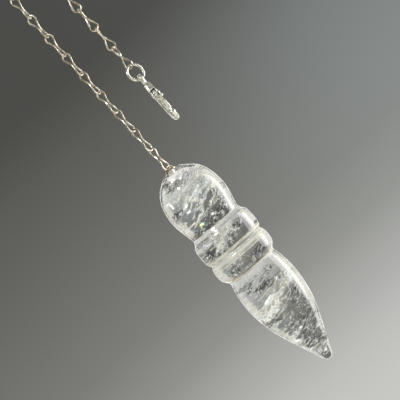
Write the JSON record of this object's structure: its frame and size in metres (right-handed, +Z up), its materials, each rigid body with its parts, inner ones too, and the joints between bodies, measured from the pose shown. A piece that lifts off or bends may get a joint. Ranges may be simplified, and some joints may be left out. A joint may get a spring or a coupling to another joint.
{
  "type": "pendulum pendant",
  "caption": "Clear crystal pendulum with a domed head, grooved collars and a long rounded point, hanging by a wire eye from a fine chain that ends in a jump ring and lobster clasp.",
  "frame": {"origin": "middle of the chain's top link, where the chain hangs over a finger or hook", "axes": "+Z up along the strands, +X from the stone's strand to the free end, -Y towards the viewer"},
  "size_m": [0.0189, 0.0149, 0.1546],
  "materials": {
    "quartz": "polished, with veils and small inner cracks",
    "eye_metal": "worn gold-brown plate",
    "chain_metal": "bright champagne plate with brown in the joints",
    "clasp_metal": "bright cream-silver plate"
  },
  "bodies": {
    "chain": {"link_01": "chain_metal", "link_02": "chain_metal", "link_03": "chain_metal", "link_04": "chain_metal", "link_05": "chain_metal", "link_06": "chain_metal", "link_07": "chain_metal", "link_08": "chain_metal", "link_09": "chain_metal", "link_10": "chain_metal", "link_11": "chain_metal", "link_12": "chain_metal", "link_13": "chain_metal", "link_14": "chain_metal", "link_15": "chain_metal", "link_16": "chain_metal", "link_17": "chain_metal", "link_18": "chain_metal", "link_19": "chain_metal", "link_20": "chain_metal", "link_21": "chain_metal", "link_22": "chain_metal", "link_23": "chain_metal", "link_24": "chain_metal", "link_25": "chain_metal", "link_26": "chain_metal", "link_27": "chain_metal", "link_28": "chain_metal", "link_29": "chain_metal", "link_30": "chain_metal", "link_31": "chain_metal", "link_32": "chain_metal", "link_33": "chain_metal", "jump_ring": "clasp_metal", "clasp_body": "clasp_metal"},
    "pendulum": {"stone": "quartz", "eye_pin": "eye_metal"},
    "lever": {"clasp_lever": "clasp_metal"}
  },
  "joints": [
    {"name": "stone_swing", "type": "hinge", "parent": "chain", "child": "pendulum", "pos_m": [-0.00445, 0, -0.09964], "axis": [0.6947, 0.7193, 0], "range_deg": [-60, 60]},
    {"name": "lever_turn", "type": "hinge", "parent": "chain", "child": "lever", "pos_m": [0.00448, -0.00095, -0.08581], "axis": [0.9994, 0.0349, 0], "range_deg": [0, 20], "stiffness_Nm_per_rad": 0.004}
  ]
}
